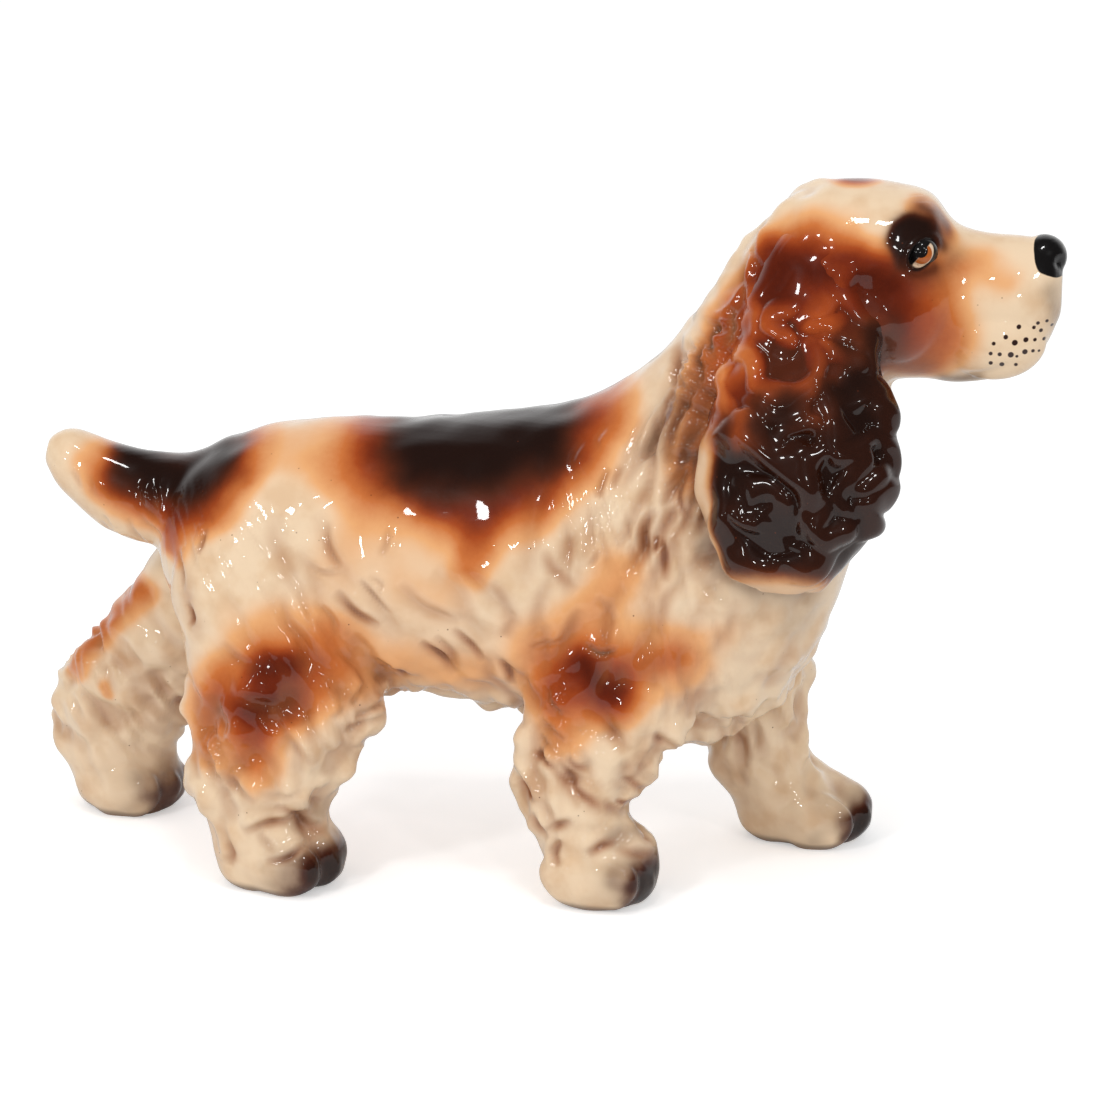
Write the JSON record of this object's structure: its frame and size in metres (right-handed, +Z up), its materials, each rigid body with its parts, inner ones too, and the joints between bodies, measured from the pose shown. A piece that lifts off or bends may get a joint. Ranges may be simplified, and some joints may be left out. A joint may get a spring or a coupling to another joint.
{
  "type": "glazed earthenware spaniel figure",
  "caption": "Standing spaniel figurine in glazed, airbrushed slip-cast earthenware, made of hollow castings luted together; a shelf or mantel ornament that stands on its own four paws.",
  "frame": {"origin": "centre of the figure's bounding box at the height of the surface that it stands on", "axes": "+X is where the dog faces, +Y is the dog's left side, +Z is up"},
  "size_m": [0.3008, 0.099, 0.2019],
  "materials": {
    "torso_glaze": "glossy ivory glaze with airbrushed rust and near-black patches",
    "head_glaze": "glossy ivory glaze with honey-orange airbrushing, black nose and painted eyes",
    "ear_glaze": "glossy mahogany to near-black glaze",
    "tail_glaze": "glossy ivory glaze with a rust and black root",
    "leg_glaze": "glossy ivory glaze with rust patches and brown-black toes"
  },
  "bodies": {
    "root": {"torso": "torso_glaze", "head": "head_glaze", "left_ear": "ear_glaze", "right_ear": "ear_glaze", "tail": "tail_glaze", "left_foreleg": "leg_glaze", "right_foreleg": "leg_glaze", "left_hind_leg": "leg_glaze", "right_hind_leg": "leg_glaze"}
  },
  "joints": []
}
